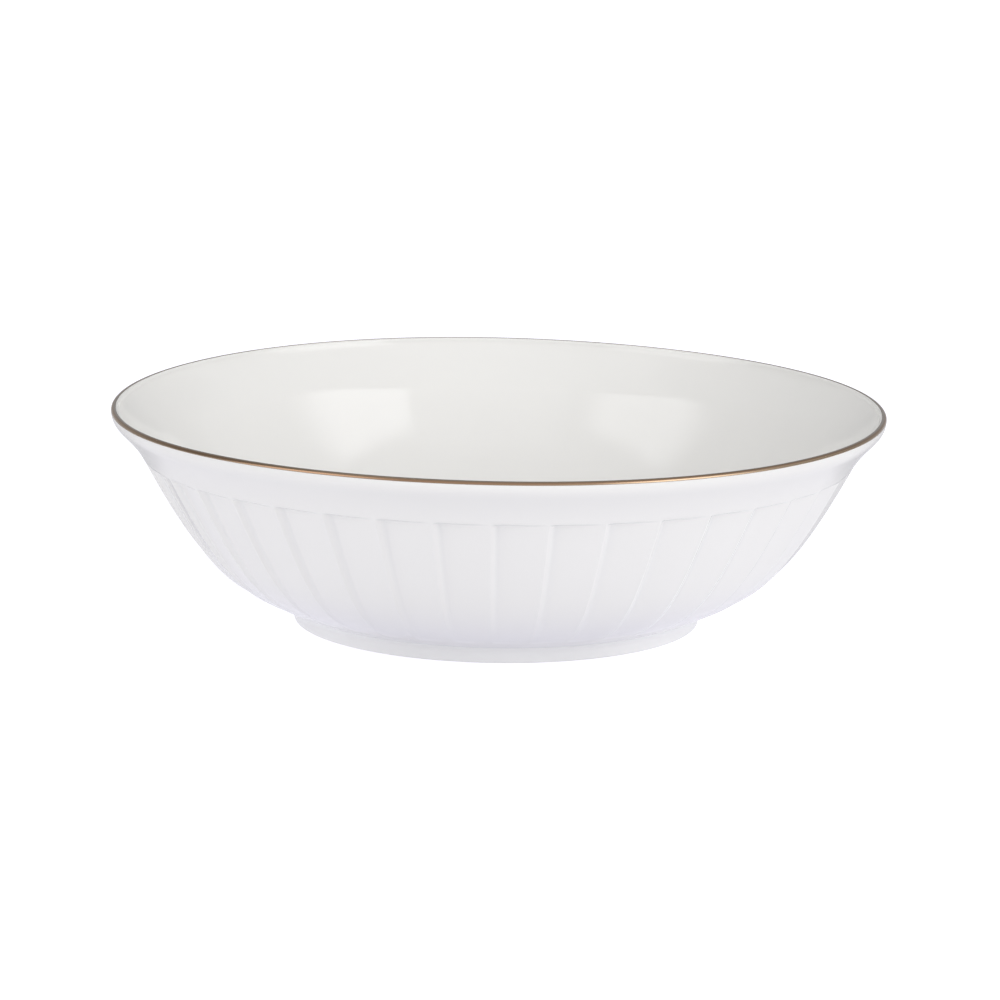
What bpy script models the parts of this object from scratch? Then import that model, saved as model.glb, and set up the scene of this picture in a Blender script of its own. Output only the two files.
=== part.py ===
"""Porcelain serving bowl: a pleated wall with a flared, gilded lip, on a low foot ring.

Metres, +Z up. The bowl rests on z = 0 and its axis is the Z axis.
Outlines below are half sections in millimetres, as (radius, height) points.
"""

import math

import bmesh
import bpy
from mathutils import Matrix

MM = 0.001

# Driving dimensions, in millimetres.
RIM_DIAMETER = 230.0
HEIGHT = 64.4
FOOT_HEIGHT = 4.7
FOOT_JOINT_RADIUS = 60.8
FOOT_BASE_RADIUS = 59.4
FOOT_WALL = 5.6
FLOOR_THICKNESS = 4.8
LEDGE_HEIGHT = 50.4
LEDGE_RADIUS = 105.8
WALL_THICKNESS = 3.4
LIP_THICKNESS = 2.0
JOINT_GAP = 0.3

# The pleats: shallow leaves that each overlap the next, like a sawtooth.
PLEAT_COUNT = 40
PLEAT_DEPTH = 1.0
PLEAT_START_HEIGHT = 8.0
STEP_SHARE = 0.07
CREST_TURN = math.radians(-0.65)
COLUMNS_PER_PLEAT = 3
COLUMNS = PLEAT_COUNT * COLUMNS_PER_PLEAT

# The gold line on the lip, as angles round the lip's edge from the outer side over the top.
GOLD_START = math.radians(0.0)
GOLD_END = math.radians(110.0)
GOLD_THICKNESS = 0.25
GOLD_SEAT = 0.35

LIP_RADIUS = LIP_THICKNESS / 2
LIP_CENTRE = (RIM_DIAMETER / 2 - LIP_RADIUS, HEIGHT - LIP_RADIUS)


def clear_scene():
    for item in list(bpy.data.objects):
        bpy.data.objects.remove(item, do_unlink=True)


def material(name, colour, roughness, metallic=0.0):
    surface = bpy.data.materials.new(name)
    surface.use_nodes = True
    shader = surface.node_tree.nodes["Principled BSDF"]
    shader.inputs["Base Color"].default_value = (*colour, 1.0)
    shader.inputs["Roughness"].default_value = roughness
    shader.inputs["Metallic"].default_value = metallic
    return surface


def curve(start, start_handle, end_handle, end, count):
    """Points on a cubic curve, both ends included."""
    points = []
    for step in range(count):
        t = step / (count - 1)
        weights = ((1 - t) ** 3, 3 * t * (1 - t) ** 2, 3 * t * t * (1 - t), t**3)
        corners = (start, start_handle, end_handle, end)
        points.append(tuple(sum(w * c[i] for w, c in zip(weights, corners)) for i in (0, 1)))
    return points


def arc(centre, radius, start, end, count):
    """Points round a centre, from one angle to another, both ends included."""
    turns = [start + (end - start) * step / (count - 1) for step in range(count)]
    return [(centre[0] + radius * math.cos(t), centre[1] + radius * math.sin(t)) for t in turns]


def along(point, slope, distance):
    """The point at a distance from another, in a direction in degrees from level."""
    turn = math.radians(slope)
    return (point[0] + distance * math.cos(turn), point[1] + distance * math.sin(turn))


def pleat_depth(height):
    """How far the deep side of a pleat lies under its crest: nothing at the foot, most at the ledge."""
    share = (height - PLEAT_START_HEIGHT) / (LEDGE_HEIGHT - PLEAT_START_HEIGHT)
    return PLEAT_DEPTH * max(share, 0.0) ** 0.6


def pleat_column(column):
    """(turn, share of the full depth) of one column of points: crest, then deep side, then half-way up."""
    pitch = 2 * math.pi / PLEAT_COUNT
    place = ((0.0, 0.0), (STEP_SHARE, 1.0), (0.55, 0.6))[column % COLUMNS_PER_PLEAT]
    return CREST_TURN + pitch * (column // COLUMNS_PER_PLEAT + place[0]), place[1]


def turned(name, outline, surface, closed):
    """Turns an outline of (radius, height, pleat depth) points round Z, and presses the pleats in."""
    mesh = bmesh.new()
    pleat = mesh.verts.layers.float.new("pleat")
    for radius, height, depth in outline:
        point = mesh.verts.new((radius * MM, 0.0, height * MM))
        point[pleat] = depth * MM
    points = list(mesh.verts)
    for first, second in zip(points, points[1:]):
        mesh.edges.new((first, second))
    if closed:
        mesh.edges.new((points[-1], points[0]))
    geometry = list(mesh.verts) + list(mesh.edges)
    bmesh.ops.spin(
        mesh, geom=geometry, axis=(0, 0, 1), cent=(0, 0, 0), angle=2 * math.pi,
        steps=COLUMNS, use_merge=True,
    )
    for point in mesh.verts:
        turn = math.atan2(point.co.y, point.co.x) % (2 * math.pi)
        column = round(turn * COLUMNS / (2 * math.pi)) % COLUMNS
        new_turn, share = pleat_column(column)
        radius = math.hypot(point.co.x, point.co.y) - share * point[pleat]
        point.co.x = radius * math.cos(new_turn)
        point.co.y = radius * math.sin(new_turn)
    bmesh.ops.remove_doubles(mesh, verts=mesh.verts, dist=0.000005)
    bmesh.ops.recalc_face_normals(mesh, faces=mesh.faces)
    data = bpy.data.meshes.new(name)
    mesh.to_mesh(data)
    mesh.free()
    data.materials.append(surface)
    data.shade_smooth()
    data.set_sharp_from_angle(angle=math.radians(35))
    solid = bpy.data.objects.new(name, data)
    bpy.context.scene.collection.objects.link(solid)
    return solid


def plain(points):
    return [(radius, height, 0.0) for radius, height in points]


def bowl_body():
    """The porcelain body: underside, pleated wall, cove, lip, and the smooth inside down to the floor."""
    underside = [(0.0, FOOT_HEIGHT), (30.0, FOOT_HEIGHT), (FOOT_JOINT_RADIUS + 0.3, FOOT_HEIGHT)]
    wall_foot = (FOOT_JOINT_RADIUS + 0.6, FOOT_HEIGHT + 0.05)
    ledge = (LEDGE_RADIUS, LEDGE_HEIGHT)
    wall = curve(wall_foot, along(wall_foot, 20, 21), along(ledge, 242, 40), ledge, 14)
    pleated = [(radius, height, pleat_depth(height)) for radius, height in wall]
    top_of_wall = (ledge[0] - 0.2, ledge[1] - 0.5, PLEAT_DEPTH)
    lip_foot = (RIM_DIAMETER / 2 - 0.8, HEIGHT - 3.6)
    cove = curve(ledge, along(ledge, 62, 4.5), along(lip_foot, 235, 4.2), lip_foot, 6)
    lip = [(RIM_DIAMETER / 2 - 0.2, HEIGHT - 2.2), (RIM_DIAMETER / 2, HEIGHT - 1.3)]
    gold_seat = arc(LIP_CENTRE, LIP_RADIUS - GOLD_SEAT, GOLD_START, GOLD_END, 4)
    inner_edge = arc(LIP_CENTRE, LIP_RADIUS, GOLD_END, math.pi, 3)
    inner_ledge = (LEDGE_RADIUS - WALL_THICKNESS, LEDGE_HEIGHT)
    lip_inside = (inner_edge[-1][0] - 0.1, HEIGHT - 1.8)
    flare = curve(lip_inside, along(lip_inside, 240, 4), along(inner_ledge, 61, 4), inner_ledge, 4)
    floor_edge = (38.0, FOOT_HEIGHT + FLOOR_THICKNESS)
    hollow = curve(inner_ledge, along(inner_ledge, 242, 36), along(floor_edge, 0, 38), floor_edge, 12)
    floor = [(18.0, FOOT_HEIGHT + FLOOR_THICKNESS), (0.0, FOOT_HEIGHT + FLOOR_THICKNESS)]
    outline = plain(underside) + pleated[:-1] + [top_of_wall]
    outline += plain(cove + lip + gold_seat + inner_edge + flare + hollow[1:] + floor)
    glaze = material("white_glazed_porcelain", (0.87, 0.87, 0.86), 0.08)
    return turned("bowl_body", outline, glaze, closed=False)


def foot_ring():
    """The low ring luted under the body, with a flat edge to stand on."""
    top = FOOT_HEIGHT - JOINT_GAP
    inside = FOOT_BASE_RADIUS - FOOT_WALL
    outline = [
        (FOOT_JOINT_RADIUS, top),
        (FOOT_JOINT_RADIUS - 0.8, top / 2),
        (FOOT_BASE_RADIUS, 0.7),
        (FOOT_BASE_RADIUS - 0.6, 0.0),
        (inside + 1.8, 0.0),
        (inside + 1.1, 0.6),
        (inside, top),
    ]
    glaze = material("foot_glaze", (0.85, 0.85, 0.86), 0.12)
    return turned("foot_ring", plain(outline), glaze, closed=True)


def gold_rim_band():
    """The fired gold line round the lip, in the shallow seat that the body leaves for it."""
    edge = math.radians(3)
    outer = arc(LIP_CENTRE, LIP_RADIUS, GOLD_START + edge, GOLD_END - edge, 5)
    inner = arc(LIP_CENTRE, LIP_RADIUS - GOLD_THICKNESS, GOLD_END - edge, GOLD_START + edge, 4)
    gold = material("burnished_gold", (0.80, 0.58, 0.28), 0.18, metallic=1.0)
    return turned("gold_rim_band", plain(outer + inner), gold, closed=True)


clear_scene()
origin = bpy.data.objects.new("serving_bowl", None)
bpy.context.scene.collection.objects.link(origin)
for piece in (bowl_body(), foot_ring(), gold_rim_band()):
    piece.parent = origin
    piece.matrix_parent_inverse = Matrix.Identity(4)
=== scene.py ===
"""Porcelain serving bowl: white glaze, overlapping pleats, a gold line on the lip and a wiped foot ring."""

import math

import bmesh
import bpy
from mathutils import Matrix, Vector


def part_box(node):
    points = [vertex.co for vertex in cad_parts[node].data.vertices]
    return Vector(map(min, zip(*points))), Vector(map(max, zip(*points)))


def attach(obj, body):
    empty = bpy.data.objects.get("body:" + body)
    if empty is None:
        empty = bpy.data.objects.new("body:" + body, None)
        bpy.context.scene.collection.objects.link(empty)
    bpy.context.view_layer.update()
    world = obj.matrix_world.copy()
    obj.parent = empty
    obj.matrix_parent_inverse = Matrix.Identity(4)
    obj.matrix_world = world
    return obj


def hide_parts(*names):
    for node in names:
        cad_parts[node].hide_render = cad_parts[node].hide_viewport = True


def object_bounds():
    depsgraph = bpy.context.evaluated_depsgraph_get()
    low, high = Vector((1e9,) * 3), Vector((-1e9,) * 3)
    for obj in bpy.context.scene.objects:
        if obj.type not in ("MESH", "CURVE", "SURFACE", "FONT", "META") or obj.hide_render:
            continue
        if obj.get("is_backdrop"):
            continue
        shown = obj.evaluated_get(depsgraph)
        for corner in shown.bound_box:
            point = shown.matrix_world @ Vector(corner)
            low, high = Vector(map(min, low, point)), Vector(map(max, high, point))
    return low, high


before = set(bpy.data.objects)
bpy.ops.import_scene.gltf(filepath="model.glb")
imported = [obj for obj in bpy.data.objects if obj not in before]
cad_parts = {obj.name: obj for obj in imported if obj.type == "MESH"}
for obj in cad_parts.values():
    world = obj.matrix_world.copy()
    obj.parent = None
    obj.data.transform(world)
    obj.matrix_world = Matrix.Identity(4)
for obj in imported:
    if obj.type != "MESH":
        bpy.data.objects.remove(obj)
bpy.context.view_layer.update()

# --------------------------------------------------------------------------------------------------
# The porcelain body. It is one piece of white hard-paste porcelain, pressed in a mould that gives the
# outer wall its forty overlapping pleats, then dipped in clear glaze and fired. The glaze softens every
# edge and lies a little thicker, and so a little cooler in colour, in the hollows, where its colour is
# also darkened as painted shade. Low on the outside the colour carries painted shade with a bluish tint
# of painted floor light, and a few near-white specks are painted glints.
# --------------------------------------------------------------------------------------------------

# Sizes are in millimetres until a mesh is made.
MM = 0.001
RIM_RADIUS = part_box("gold_rim_band")[1].x / MM
RIM_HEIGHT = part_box("gold_rim_band")[1].z / MM
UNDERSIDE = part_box("bowl_body")[0].z / MM
FOOT_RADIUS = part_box("foot_ring")[1].x / MM

# The pleats: how deep, how quickly they deepen upwards, and where they fade out by the foot.
PLEATS = 40
PLEAT_DEPTH = 1.6
PLEAT_DEEPENING = 0.42
PLEAT_FADE = 8.0
# Under the ledge: how far down the pleats take to start, how far down the finer rows of points go, how much
# the wall draws in on the way, and how far down each row lies.
LEDGE_DROP = 0.7
LEDGE_REACH = 1.6
LEDGE_SLOPE = 0.53
LEDGE_ROWS = (1.3, 1.05, 0.85, 0.7, 0.56, 0.42, 0.28, 0.14, 0.0)
# The step's share of a pleat's width, how late its leaf rises, and the first crest's turn from X.
STEP_SHARE = 0.15
LEAF_RISE = 1.35
CREST_TURN = math.radians(-1.15)
# Columns of points across a pleat, and how tightly they crowd towards its step.
COLUMNS = 18
CROWDING = 0.86
# How near two wedges' edge points lie before they become one.
MERGE = 0.004
PRESSING = {"Pleats": PLEATS, "Step Share": STEP_SHARE, "Rise": LEAF_RISE}

# The rim's waves in height by name, how far it draws in, and how far it sinks: millimetres and radians.
SETTLING = {
    "Tilt": -0.15,
    "Saddle": 0.32,
    "Saddle Turn": math.radians(10.0),
    "Threefold": 0.24,
    "Threefold Turn": math.radians(-27.0),
    "Draw In": 0.2,
    "Sink": 0.12,
}

# Points of the outline, each a radius and a height.
FOOT_JOINT = (FOOT_RADIUS + 0.6, UNDERSIDE)
RECESS_EDGE = (49.0, UNDERSIDE)
LEDGE = (105.8, 50.4)
NECK = (112.6, 58.9)
LIP_EDGE = 1.0
LIP_CENTRE = (RIM_RADIUS - LIP_EDGE, RIM_HEIGHT - LIP_EDGE)
THROAT = (102.4, 50.4)
FLOOR_HEIGHT = 9.5
FLOOR_EDGE = (42.0, FLOOR_HEIGHT)


def curve(start, start_angle, start_reach, end, end_angle, end_reach, count):
    """Points on a smooth curve between two points, leaving and meeting them at angles in degrees."""
    leave, meet = math.radians(start_angle), math.radians(end_angle)
    first = (start[0] + start_reach * math.cos(leave), start[1] + start_reach * math.sin(leave))
    second = (end[0] - end_reach * math.cos(meet), end[1] - end_reach * math.sin(meet))
    controls = (start, first, second, end)
    points = []
    for step in range(count + 1):
        t = step / count
        weights = ((1 - t) ** 3, 3 * t * (1 - t) ** 2, 3 * t * t * (1 - t), t**3)
        points.append(tuple(sum(w * c[i] for w, c in zip(weights, controls)) for i in (0, 1)))
    return points


def arc(centre, radius, start, end, count):
    """Points round a centre, from one angle to another in degrees."""
    turns = [math.radians(start + (end - start) * step / count) for step in range(count + 1)]
    return [(centre[0] + radius * math.cos(t), centre[1] + radius * math.sin(t)) for t in turns]


def joined(*runs):
    """One outline from several runs of points, each starting where the last ended."""
    outline = list(runs[0])
    for run in runs[1:]:
        outline += run[1:]
    return outline


def smooth(share):
    """A soft step from 0 to 1."""
    share = min(max(share, 0.0), 1.0)
    return share * share * (3 - 2 * share)


def pleat_depth(height):
    """How deep the pleats are pressed at a height: none by the foot, most just under the ledge."""
    share = max(height - PLEAT_FADE, 0.0) / (LEDGE[1] - PLEAT_FADE)
    return PLEAT_DEPTH * share**PLEAT_DEEPENING * smooth((LEDGE[1] - height) / LEDGE_DROP)


# The outline runs from the middle of the underside out, up the wall, over the lip and back inside. The
# wall's curve stops short of the ledge, and closer points take over where the pleats end.
underside = curve((0.0, UNDERSIDE + 0.7), 0, 20, RECESS_EDGE, -1, 20, 5) + [FOOT_JOINT]
wall = curve(FOOT_JOINT, 23, 20, LEDGE, 62, 40, 46)
wall = [point for point in wall if point[1] < LEDGE[1] - LEDGE_REACH]
ledge = [(LEDGE[0] - LEDGE_SLOPE * drop, LEDGE[1] - drop) for drop in LEDGE_ROWS]
cove = curve(LEDGE, 62, 4.0, NECK, 44, 3.0, 14)
lip = curve(NECK, 44, 1.9, (RIM_RADIUS, LIP_CENTRE[1]), 90, 2.0, 14)
edge = arc(LIP_CENTRE, LIP_EDGE, 0, 180, 14)
flare = curve((LIP_CENTRE[0] - LIP_EDGE, LIP_CENTRE[1]), 268, 1.6, THROAT, 242, 4.0, 12)
hollow = curve(THROAT, 242, 36, FLOOR_EDGE, 180, 34, 22)
floor_dips = ((30.0, 0.05), (15.0, 0.1), (0.0, 0.1))
floor_inside = [FLOOR_EDGE] + [(radius, FLOOR_HEIGHT - dip) for radius, dip in floor_dips]
outside = joined(underside, wall, [wall[-1]] + ledge, cove, lip, edge)
inside = joined(flare, hollow, floor_inside)


def linked(name, data):
    """A new object in the scene, holding this data."""
    piece = bpy.data.objects.new(name, data)
    bpy.context.scene.collection.objects.link(piece)
    return piece


def plain_mesh(name, mesh):
    """A mesh made from a bmesh, which is then freed."""
    data = bpy.data.meshes.new(name)
    mesh.to_mesh(data)
    mesh.free()
    return data


def wedge(name, outline, depths):
    """One pleat's strip of wall, unpressed: its points store their share of the pleat and its depth there."""
    mesh = bmesh.new()
    share_layer = mesh.verts.layers.float.new("share")
    depth_layer = mesh.verts.layers.float.new("depth")
    evenly = [column / COLUMNS for column in range(COLUMNS + 1)]
    shares = [t - CROWDING * math.sin(2 * math.pi * t) / (2 * math.pi) for t in evenly]
    rows = []
    for (radius, height), depth in zip(outline, depths):
        row = []
        for share in shares:
            turn = CREST_TURN + 2 * math.pi / PLEATS * share
            x, y = radius * math.cos(turn), radius * math.sin(turn)
            point = mesh.verts.new((x * MM, y * MM, height * MM))
            point[share_layer] = share
            point[depth_layer] = depth * MM
            row.append(point)
        rows.append(row)
    for low, high in zip(rows, rows[1:]):
        for column in range(COLUMNS):
            mesh.faces.new((low[column], low[column + 1], high[column + 1], high[column]))
    return linked(name, plain_mesh(name, mesh))


class Wire:
    """A node's output that can be written into sums: each operator adds the Math node that it stands for."""

    def __init__(self, tree, socket):
        self.tree = tree
        self.socket = socket

    def node(self, kind, settings=(), sockets=(), output=0):
        """A new node in the same tree, its settings first, then its sockets' values or links."""
        made = self.tree.nodes.new(kind)
        for name, value in dict(settings).items():
            setattr(made, name, value)
        for key, value in dict(sockets).items():
            if isinstance(value, Wire):
                self.tree.links.new(value.socket, made.inputs[key])
            else:
                made.inputs[key].default_value = value
        return Wire(self.tree, made.outputs[output])

    def maths(self, operation, *values, clamp=False):
        """A Math node on these values."""
        settings = {"operation": operation, "use_clamp": clamp}
        return self.node("ShaderNodeMath", settings, dict(enumerate(values)))

    def __add__(self, other):
        return self.maths("ADD", self, other)

    def __sub__(self, other):
        return self.maths("SUBTRACT", self, other)

    def __mul__(self, other):
        return self.maths("MULTIPLY", self, other)

    def __truediv__(self, other):
        return self.maths("DIVIDE", self, other)

    def __pow__(self, other):
        return self.maths("POWER", self, other)

    def __radd__(self, other):
        return self.maths("ADD", other, self)

    def __rsub__(self, other):
        return self.maths("SUBTRACT", other, self)

    def smooth(self, low, high):
        """0 below low, 1 above high, and a soft step between."""
        sockets = {"Value": self, "From Min": low, "From Max": high}
        return self.node("ShaderNodeMapRange", {"interpolation_type": "SMOOTHSTEP"}, sockets)

    def window(self, low, high, soft):
        """1 between low and high, fading to 0 across a soft edge centred on each."""
        return self.smooth(low - soft, low + soft) * (1.0 - self.smooth(high - soft, high + soft))

    def axes(self):
        """The three parts of a vector."""
        apart = {"Vector": self}
        return [self.node("ShaderNodeSeparateXYZ", (), apart, output=axis) for axis in "XYZ"]

    def length(self, *others):
        """The length of a vector with this part and the others."""
        total = self * self
        for other in others:
            total = total + other * other
        return self.maths("SQRT", total)

    def round_from_front(self, y):
        """The turn in radians from the viewer's side towards the right, where this is X."""
        return self.maths("ARCTAN2", self, y * -1.0)

    def colour(self, low, high):
        """A colour from low to high as this value goes from 0 to 1: each a colour, or a Wire of one."""
        sockets = {"Factor": self, 6: low, 7: high}
        return self.node("ShaderNodeMix", {"data_type": "RGBA"}, sockets, output=2)


def new_tree(name, inputs):
    """A geometry node tree that takes and gives a piece, its inputs by name as Wires, and its end."""
    tree = bpy.data.node_groups.new(name, "GeometryNodeTree")
    tree.interface.new_socket("Piece", in_out="INPUT", socket_type="NodeSocketGeometry")
    for label, value in inputs.items():
        kind = "NodeSocketInt" if isinstance(value, int) else "NodeSocketFloat"
        tree.interface.new_socket(label, in_out="INPUT", socket_type=kind)
    tree.interface.new_socket("Piece", in_out="OUTPUT", socket_type="NodeSocketGeometry")
    group = tree.nodes.new("NodeGroupInput")
    wires = {label: Wire(tree, group.outputs[label]) for label in ("Piece", *inputs)}
    return tree, wires, tree.nodes.new("NodeGroupOutput").inputs["Piece"]


def pleating_tree(surface):
    """Presses one pleat into a wedge of wall, repeats it all the way round, and joins the wedges."""
    tree, given, end = new_tree("pleating", PRESSING)
    wall, pleats, step_share = given["Piece"], given["Pleats"], given["Step Share"]
    number = {"data_type": "FLOAT"}
    share = wall.node("GeometryNodeInputNamedAttribute", number, {"Name": "share"})
    depth = wall.node("GeometryNodeInputNamedAttribute", number, {"Name": "depth"})
    # A steep step down from one crest, then a leaf that rises slowly to the next.
    step = share.smooth(0.0, step_share)
    leaf = share.maths("SUBTRACT", share, step_share, clamp=True) / (1.0 - step_share)
    pressed = step * (1.0 - leaf ** given["Rise"])
    position = wall.node("GeometryNodeInputPosition")
    level = wall.node("ShaderNodeVectorMath", {"operation": "MULTIPLY"}, {0: position, 1: (1.0, 1.0, 0.0)})
    outward = wall.node("ShaderNodeVectorMath", {"operation": "NORMALIZE"}, {0: level})
    inward = {0: outward, "Scale": depth * pressed * -1.0}
    push = wall.node("ShaderNodeVectorMath", {"operation": "SCALE"}, inward)
    shaped = wall.node("GeometryNodeSetPosition", (), {"Geometry": wall, "Offset": push})
    # Glaze pools at the foot of the step, as much as the pleat is deep; the mark also paints shade there.
    pooled_and_shaded = share.smooth(step_share * 0.55, step_share) * (1.0 - leaf.smooth(0.0, 0.12))
    glaze_pool_and_shade = {"Geometry": shaped, "Name": "glaze_pool_and_shade", "Value": depth / (PLEAT_DEPTH * MM) * pooled_and_shaded}
    on_points = {"data_type": "FLOAT", "domain": "POINT"}
    marked = wall.node("GeometryNodeStoreNamedAttribute", on_points, glaze_pool_and_shade)
    points = wall.node("GeometryNodePoints", (), {"Count": pleats, "Position": (0.0, 0.0, 0.0)})
    turn = wall.node("GeometryNodeInputIndex") * (2 * math.pi) / pleats
    turned_by = wall.node("ShaderNodeCombineXYZ", (), {"Z": turn})
    rotation = wall.node("FunctionNodeEulerToRotation", (), {0: turned_by})
    round_z = {"Points": points, "Instance": marked, "Rotation": rotation}
    copies = wall.node("GeometryNodeInstanceOnPoints", (), round_z)
    real = wall.node("GeometryNodeRealizeInstances", (), {"Geometry": copies})
    merged = wall.node("GeometryNodeMergeByDistance", (), {"Geometry": real, "Distance": MERGE * MM})
    soft = wall.node("GeometryNodeSetShadeSmooth", (), {"Geometry": merged})
    painted = wall.node("GeometryNodeSetMaterial", (), {"Geometry": soft, "Material": surface})
    tree.links.new(painted.socket, end)
    return tree


def settling_tree(surface):
    """The slight warp of a thin rim in the kiln: waves in height that grow from the wall to the lip."""
    tree, given, end = new_tree("settling", SETTLING)
    piece = given["Piece"]
    x, y, z = piece.node("GeometryNodeInputPosition").axes()
    turn = x.round_from_front(y)
    saddle_turn = (turn - given["Saddle Turn"]) * 2.0
    threefold_turn = (turn - given["Threefold Turn"]) * 3.0
    wave = given["Tilt"] * turn.maths("SINE", turn) - given["Sink"]
    wave = wave + given["Saddle"] * turn.maths("COSINE", saddle_turn)
    wave = wave + given["Threefold"] * turn.maths("COSINE", threefold_turn)
    growth = (z / MM).smooth(LEDGE[1] * 0.35, RIM_HEIGHT)
    drawn = given["Draw In"] / RIM_RADIUS * growth * -1.0
    shift = piece.node("ShaderNodeCombineXYZ", (), {"X": x * drawn, "Y": y * drawn, "Z": wave * growth * MM})
    moved = piece.node("GeometryNodeSetPosition", (), {"Geometry": piece, "Offset": shift})
    real = piece.node("GeometryNodeRealizeInstances", (), {"Geometry": moved})
    painted = piece.node("GeometryNodeSetMaterial", (), {"Geometry": real, "Material": surface})
    tree.links.new(painted.socket, end)
    return tree


def applied(piece, tree, values):
    """Makes a node tree's result the piece's own plain mesh. The values go to the inputs of those names."""
    modifier = piece.modifiers.new(tree.name, "NODES")
    modifier.node_group = tree
    for item in tree.interface.items_tree:
        if item.in_out == "INPUT" and item.name in values:
            modifier[item.identifier] = values[item.name]
    evaluated = piece.evaluated_get(bpy.context.evaluated_depsgraph_get())
    mesh = bpy.data.meshes.new_from_object(evaluated)
    piece.modifiers.remove(modifier)
    old = piece.data
    piece.data = mesh
    bpy.data.meshes.remove(old)
    mesh.name = piece.name


def new_material(name):
    """A new material, its shader, and a Wire of the place on the object, in metres."""
    material = bpy.data.materials.new(name)
    material.use_nodes = True
    tree = material.node_tree
    shader = tree.nodes["Principled BSDF"]
    place = Wire(tree, tree.nodes.new("ShaderNodeTexCoord").outputs["Object"])
    return material, shader, place


def connect(shader, name, wire):
    """Links a Wire to the input of that name."""
    wire.tree.links.new(wire.socket, shader.inputs[name])


def noise(place, scale, detail=2.0):
    """Smooth noise from 0 to 1, with about this many waves in a metre."""
    return place.node("ShaderNodeTexNoise", (), {"Vector": place, "Scale": scale, "Detail": detail})


def bump(height, strength, distance, below=None):
    """A bent normal, on top of the one below."""
    sockets = {"Height": height, "Strength": strength, "Distance": distance}
    if below is not None:
        sockets["Normal"] = below
    return height.node("ShaderNodeBump", (), sockets)


def specks(place, spacing, size, share):
    """1 on a few small round specks: one chance in each cell of the given spacing."""
    cells = {"Vector": place, "Scale": 1.0 / spacing, "Randomness": 1.0}
    distance = place.node("ShaderNodeTexVoronoi", {"feature": "F1"}, cells, output="Distance")
    colour = place.node("ShaderNodeTexVoronoi", {"feature": "F1"}, cells, output="Color")
    chance = place.node("ShaderNodeSeparateColor", (), {"Color": colour}, output="Red")
    inside = 1.0 - (distance * spacing).smooth(size * 0.35, size * 0.5)
    return inside * chance.maths("GREATER_THAN", chance, 1.0 - share)


GLAZE_TONES = ((0.797, 0.790, 0.772, 1.0), (0.827, 0.820, 0.802, 1.0))
POOL_AND_SHADE_TONE = (0.70, 0.71, 0.72, 1.0)
LOW_SHADE_TONE = (0.785, 0.778, 0.806, 1.0)
DARK_SPECK = (0.45, 0.41, 0.36, 1.0)
PAINTED_GLINT_SPECK = (0.98, 0.98, 0.98, 1.0)
GLAZE_IOR = 1.52
# Waves in a metre, of the glaze's tone and of its surface.
CLOUD_SCALE = 14.0
RIPPLE_SCALE = 55.0
# The heights and the radii, in metres, between which the painted shade and bluish floor light on the low
# outer wall fade.
LOW_HEIGHTS = (0.004, 0.026)
LOW_RADII = (0.0560, 0.0625)


def glaze():
    """Clear gloss glaze over white porcelain: cooler beside the steps, with painted shade there, painted
    shade and bluish floor light low on the outside, and painted glints.
    """
    material, shader, place = new_material("white_glazed_porcelain")
    x, y, z = place.axes()
    glaze_pool_and_shade = place.node("ShaderNodeAttribute", {"attribute_name": "glaze_pool_and_shade"}, (), output="Fac")
    low_outside_shade = (1.0 - z.smooth(*LOW_HEIGHTS)) * x.length(y).smooth(*LOW_RADII)
    colour = noise(place, CLOUD_SCALE, 3.0).colour(*GLAZE_TONES)
    # Cooler tint of the pooled glaze, darkened as painted shade in the hollows beside the steps.
    colour = (glaze_pool_and_shade * 0.24).colour(colour, POOL_AND_SHADE_TONE)
    # Painted shade with a bluish tint of painted floor light, low on the outer wall towards the foot.
    colour = low_outside_shade.colour(colour, LOW_SHADE_TONE)
    colour = (specks(place, 0.017, 0.00045, 0.08) * 0.6).colour(colour, DARK_SPECK)
    # A few near-white specks: painted glints on the glaze.
    colour = (specks(place, 0.023, 0.0007, 0.10) * 0.9).colour(colour, PAINTED_GLINT_SPECK)
    connect(shader, "Base Color", colour)
    connect(shader, "Roughness", 0.05 + noise(place, 45.0, 4.0) * 0.06)
    ripples = bump(noise(place, RIPPLE_SCALE, 1.0), 0.10, 0.0012)
    peel = bump(noise(place, 420.0, 2.0), 0.10, 0.00010, ripples)
    pits = specks(place, 0.012, 0.0005, 0.16)
    connect(shader, "Normal", bump(pits, -0.35, 0.00015, peel))
    shader.inputs["IOR"].default_value = GLAZE_IOR
    return material


# The outline turns inside at the top of the lip. Only the outer wall is pressed.
outline = joined(outside, inside)
depths = [pleat_depth(height) for radius, height in outside] + [0.0] * (len(inside) - 1)
porcelain = glaze()
body = wedge("bowl_porcelain", outline, depths)
applied(body, pleating_tree(porcelain), PRESSING)
applied(body, settling_tree(porcelain), SETTLING)
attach(body, "root")
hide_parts("bowl_body")

# --------------------------------------------------------------------------------------------------
# The foot ring. A low ring of the same porcelain, luted under the body with slip, so that a soft fillet
# of glaze fills the corner. Its standing edge is wiped clean before firing, and shows bare, matt, faintly
# grey biscuit.
# --------------------------------------------------------------------------------------------------

FOOT_COLUMNS = 360
BISCUIT_TONES = ((0.70, 0.67, 0.62, 1.0), (0.80, 0.78, 0.74, 1.0))
FOOT_TONES = ((0.820, 0.818, 0.808, 1.0), (0.845, 0.843, 0.835, 1.0))


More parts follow.
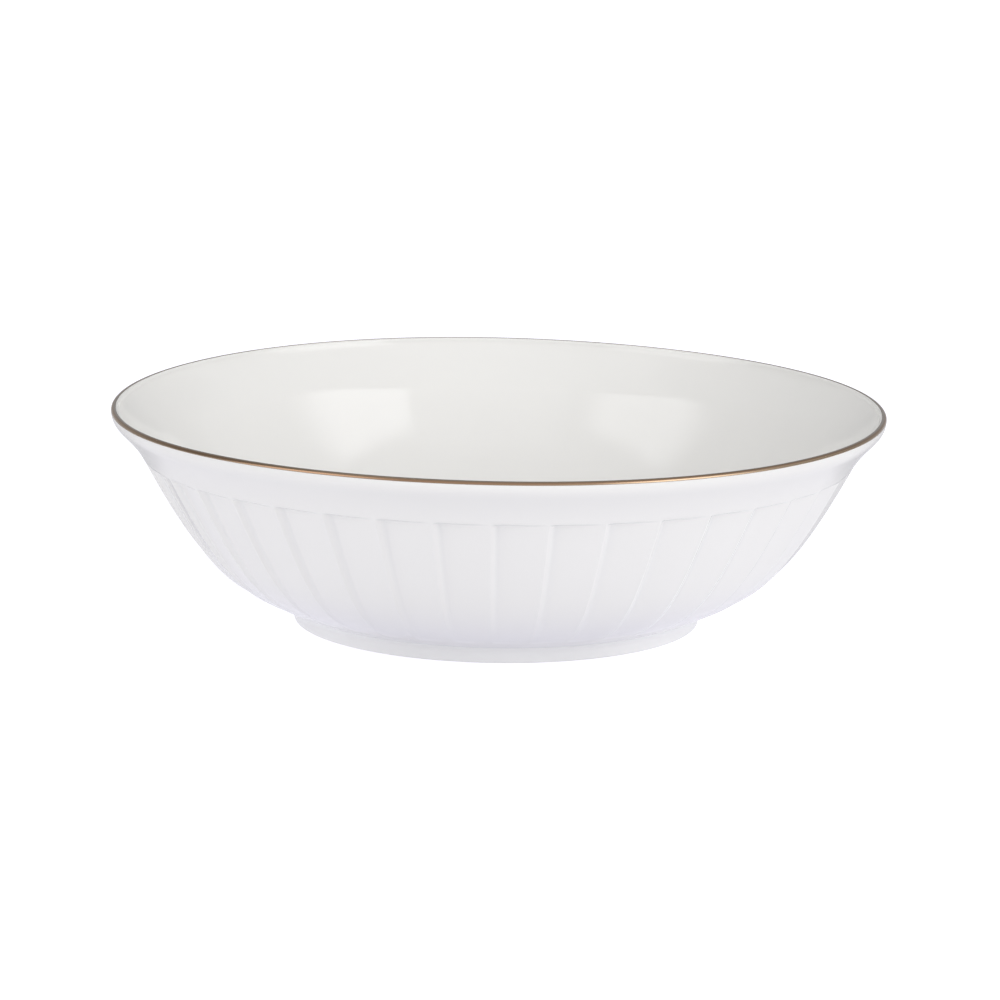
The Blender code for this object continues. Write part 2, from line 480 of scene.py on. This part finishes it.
def turned(name, outline, surface, columns):
    """A ring turned round Z from a closed outline that runs anticlockwise round its section."""
    mesh = bmesh.new()
    rows = []
    for column in range(columns):
        turn = 2 * math.pi * column / columns
        row = []
        for radius, height in outline:
            x, y = radius * math.cos(turn), radius * math.sin(turn)
            row.append(mesh.verts.new((x * MM, y * MM, height * MM)))
        rows.append(row)
    for row, after in zip(rows, rows[1:] + rows[:1]):
        for first in range(len(outline)):
            second = (first + 1) % len(outline)
            mesh.faces.new((row[first], after[first], after[second], row[second]))
    bmesh.ops.recalc_face_normals(mesh, faces=mesh.faces)
    data = plain_mesh(name, mesh)
    data.materials.append(surface)
    data.shade_smooth()
    return linked(name, data)


def wiped_glaze():
    """The same glaze, stopping just above the standing edge, where the bare biscuit shows."""
    material, shader, place = new_material("foot_glaze_and_biscuit")
    height = place.axes()[2]
    wander = (noise(place, 90.0, 2.0) - 0.5) * 0.0001
    glazed = (height + wander).smooth(0.00006, 0.00018)
    grain = noise(place, 2600.0, 3.0)
    biscuit = grain.colour(*BISCUIT_TONES)
    white = noise(place, CLOUD_SCALE, 3.0).colour(*FOOT_TONES)
    connect(shader, "Base Color", glazed.colour(biscuit, white))
    connect(shader, "Roughness", 0.72 - glazed * 0.65)
    relief = grain * (1.0 - glazed) + noise(place, RIPPLE_SCALE, 1.0) * 0.2
    connect(shader, "Normal", bump(relief, 0.12, 0.0002))
    shader.inputs["IOR"].default_value = GLAZE_IOR
    return material


# The section, each point a distance out from the CAD foot's radius, and a height. It runs from the tip of
# the fillet down the outside, under the standing edge, up inside, and back along the joint.
JOINT_TOP = 5.6
foot_section = joined(
    curve((4.1, 6.75), 204, 2.4, (-0.25, 2.5), 264, 1.9, 14),
    [(-0.25, 2.5), (-0.4, 1.6), (-0.6, 0.6)],
    curve((-0.6, 0.6), 262, 0.35, (-1.3, 0.0), 180, 0.3, 6),
    [(-1.3, 0.0), (-2.9, 0.0), (-4.4, 0.0)],
    curve((-4.4, 0.0), 180, 0.7, (-5.9, 1.3), 105, 0.6, 6),
    [(-5.9, 1.3), (-6.3, 2.4)],
    curve((-6.3, 2.4), 108, 1.2, (-9.0, UNDERSIDE), 180, 1.4, 8),
    [(-9.0, UNDERSIDE), (-9.0, JOINT_TOP), (0.6, JOINT_TOP)],
)
foot_outline = [(FOOT_RADIUS + out, height) for out, height in foot_section]
foot = turned("foot_ring_porcelain", foot_outline, wiped_glaze(), FOOT_COLUMNS)
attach(foot, "root")
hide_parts("foot_ring")

# --------------------------------------------------------------------------------------------------
# The gold line. Liquid bright gold, brushed on the lip while the bowl turns on a banding wheel, then fired
# on: a metal film with faint brush streaks, given a paler colour at its outer edge as a painted highlight
# and a grey colour on top as a painted reflection.
# --------------------------------------------------------------------------------------------------

# Where the film starts and ends on the round of the lip, in degrees up from straight outwards, and how far
# it stands from the round on each side, in millimetres.
GOLD_FROM = 2.0
GOLD_TO = 112.0
GOLD_LIFT = 0.03
GOLD_COLUMNS = 720
GOLD_TONES = ((0.28, 0.175, 0.11, 1.0), (0.37, 0.245, 0.16, 1.0))
EDGE_HIGHLIGHT_GOLD = (0.44, 0.335, 0.235, 1.0)
TOP_REFLECTION_GOLD = (0.35, 0.31, 0.28, 1.0)


def bright_gold():
    """Fired gold, brown, paler at the outer edge as a painted highlight and grey on top as a painted
    reflection.
    """
    material, shader, place = new_material("bright_gold_line")
    x, y, z = place.axes()
    turn = x.maths("ARCTAN2", y, x)
    rise = x.maths("ARCTAN2", z - LIP_CENTRE[1] * MM, x.length(y) - LIP_CENTRE[0] * MM)
    along = place.node("ShaderNodeCombineXYZ", (), {"X": turn * 0.11, "Y": z * 14.0, "Z": 0.0})
    streak = noise(along, 160.0, 3.0)
    tone = noise(place, 30.0, 3.0)
    # Paler colour low on the lip's outer round: a painted highlight.
    edge_highlight = (1.0 - rise.smooth(math.radians(18), math.radians(36))) * 0.95
    # Grey colour on the top of the lip: a painted reflection.
    top_reflection = rise.smooth(math.radians(55), math.radians(90)) * 0.85
    colour = (streak * 0.5 + tone * 0.5).colour(*GOLD_TONES)
    colour = edge_highlight.colour(colour, EDGE_HIGHLIGHT_GOLD)
    connect(shader, "Base Color", top_reflection.colour(colour, TOP_REFLECTION_GOLD))
    connect(shader, "Roughness", 0.16 + streak * 0.16)
    connect(shader, "Normal", bump(streak, 0.10, 0.0001))
    shader.inputs["Metallic"].default_value = 1.0
    return material


gold_face = arc(LIP_CENTRE, LIP_EDGE + GOLD_LIFT, GOLD_FROM, GOLD_TO, 12)
gold_back = arc(LIP_CENTRE, LIP_EDGE - GOLD_LIFT, GOLD_TO, GOLD_FROM, 8)
gold_surface = bright_gold()
gold = turned("gold_line", gold_face + gold_back, gold_surface, GOLD_COLUMNS)
applied(gold, settling_tree(gold_surface), SETTLING)
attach(gold, "root")
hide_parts("gold_rim_band")

# --------------------------------------------------------------------------------------------------
# The floor: a wide sheet of opal acrylic, lit from beneath so that it looks white with hardly a shadow.
# The lamps under it are turned down behind the bowl, and its glow is dimmed close in front of the bowl as
# a painted shadow of the bowl. What the camera sees of it is set apart from what it throws on the bowl.
# --------------------------------------------------------------------------------------------------

FLOOR_SIZE = 12.0
FLOOR_SEEN = 0.80
FLOOR_GLOW = 0.61
BEHIND_DIMMER = 0.30
FRONT_SHADOW_DIMMER = 0.11
NO_LIGHT = (0.0, 0.0, 0.0, 1.0)
FLOOR_TINT = (1.0, 0.995, 1.07, 1.0)
FLOOR_COLOUR = (0.34, 0.34, 0.35, 1.0)
DEGREE = math.pi / 180.0

floor_material, floor_shader, floor_place = new_material("opal_acrylic")
x, y, z = floor_place.axes()
side = x.round_from_front(y) / DEGREE
behind = 1.0 - side.window(-115.0, 115.0, 12.0)
# Dimmer glow close in front of the bowl: a painted shadow of the bowl, thrown only on the bowl.
painted_shadow_in_front = side.window(-38.0, 38.0, 16.0) * (1.0 - x.length(y).smooth(0.080, 0.125))
beneath = FLOOR_GLOW - behind * BEHIND_DIMMER - painted_shadow_in_front * FRONT_SHADOW_DIMMER
seen = floor_place.node("ShaderNodeLightPath", output="Is Camera Ray")
floor_light = seen * FLOOR_SEEN + (1.0 - seen) * beneath
connect(floor_shader, "Emission Color", floor_light.colour(NO_LIGHT, FLOOR_TINT))
floor_shader.inputs["Emission Strength"].default_value = 1.0
floor_shader.inputs["Base Color"].default_value = FLOOR_COLOUR
floor_shader.inputs["Roughness"].default_value = 0.9

half = FLOOR_SIZE / 2
corners = [(-half, -half, 0), (half, -half, 0), (half, half, 0), (-half, half, 0)]
floor_mesh = bpy.data.meshes.new("floor")
floor_mesh.from_pydata(corners, [], [(0, 1, 2, 3)])
floor_mesh.materials.append(floor_material)
linked("floor", floor_mesh)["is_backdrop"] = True

# --------------------------------------------------------------------------------------------------
# Light: a white tent, dimmer behind and at the far sides, with a tall soft box glowing through it on each
# side. The one on the right is the brighter.
# --------------------------------------------------------------------------------------------------

TENT = 0.70
# Each patch of the tent that differs: degrees round from the viewer's side towards the right, degrees up,
# how soft its edges are in degrees (first side, last side, bottom and top), and how much brighter it is.
PATCHES = (
    ((38.0, 78.0), (3.0, 47.0), (1.5, 11.0, 2.5), 2.12),
    ((-82.0, -39.0), (6.0, 47.0), (9.0, 6.0, 2.5), 1.50),
    ((-29.0, 37.0), (-40.0, 20.0), (3.0, 3.0, 4.0), 0.10),
    ((-29.0, 37.0), (20.0, 56.0), (3.0, 3.0, 4.0), 0.28),
    ((84.0, 128.0), (-40.0, 15.0), (6.0, 6.0, 4.0), -0.30),
    ((-128.0, -84.0), (-40.0, 60.0), (6.0, 6.0, 4.0), -0.36),
    ((128.0, 200.0), (-40.0, 60.0), (3.0, 3.0, 4.0), -0.24),
    ((-200.0, -128.0), (-40.0, 60.0), (3.0, 3.0, 4.0), -0.24),
)

world = bpy.data.worlds.new("tent")
world.use_nodes = True
bpy.context.scene.world = world
tree = world.node_tree
background = tree.nodes["Background"]
x, y, z = Wire(tree, tree.nodes.new("ShaderNodeTexCoord").outputs["Generated"]).axes()
side = x.round_from_front(y) / DEGREE
lift = z.maths("ARCSINE", z) / DEGREE
glow = lift.smooth(-80.0, -79.0) * TENT
for (first, last), (low, high), (soft_first, soft_last, soft), brightness in PATCHES:
    begun = side.smooth(first - soft_first, first + soft_first)
    ended = side.smooth(last - soft_last, last + soft_last)
    glow = glow + begun * (1.0 - ended) * lift.window(low, high, soft) * brightness
connect(background, "Strength", glow)
background.inputs["Color"].default_value = (1.0, 1.0, 1.0, 1.0)

# --------------------------------------------------------------------------------------------------
# Camera: a long lens, a little above the rim, turned by a degree.
# --------------------------------------------------------------------------------------------------

CAMERA_RISE = math.radians(11.648)
CAMERA_DISTANCE = 1.8288
CAMERA_ROLL = math.radians(0.84)
CAMERA_TARGET = Vector((0.00071, 0.0, 0.03585))
LENS = 221.34
SENSOR = 36.0

camera_data = bpy.data.cameras.new("camera")
camera_data.lens = LENS
camera_data.sensor_width = SENSOR
camera_data.clip_end = 50.0
camera = linked("camera", camera_data)
back = Vector((0.0, -math.cos(CAMERA_RISE), math.sin(CAMERA_RISE)))
camera.location = CAMERA_TARGET + back * CAMERA_DISTANCE
looking = back.to_track_quat("Z", "Y").to_matrix() @ Matrix.Rotation(CAMERA_ROLL, 3, "Z")
camera.rotation_euler = looking.to_euler()
bpy.context.scene.camera = camera
bpy.context.scene.view_settings.view_transform = "Standard"

low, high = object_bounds()
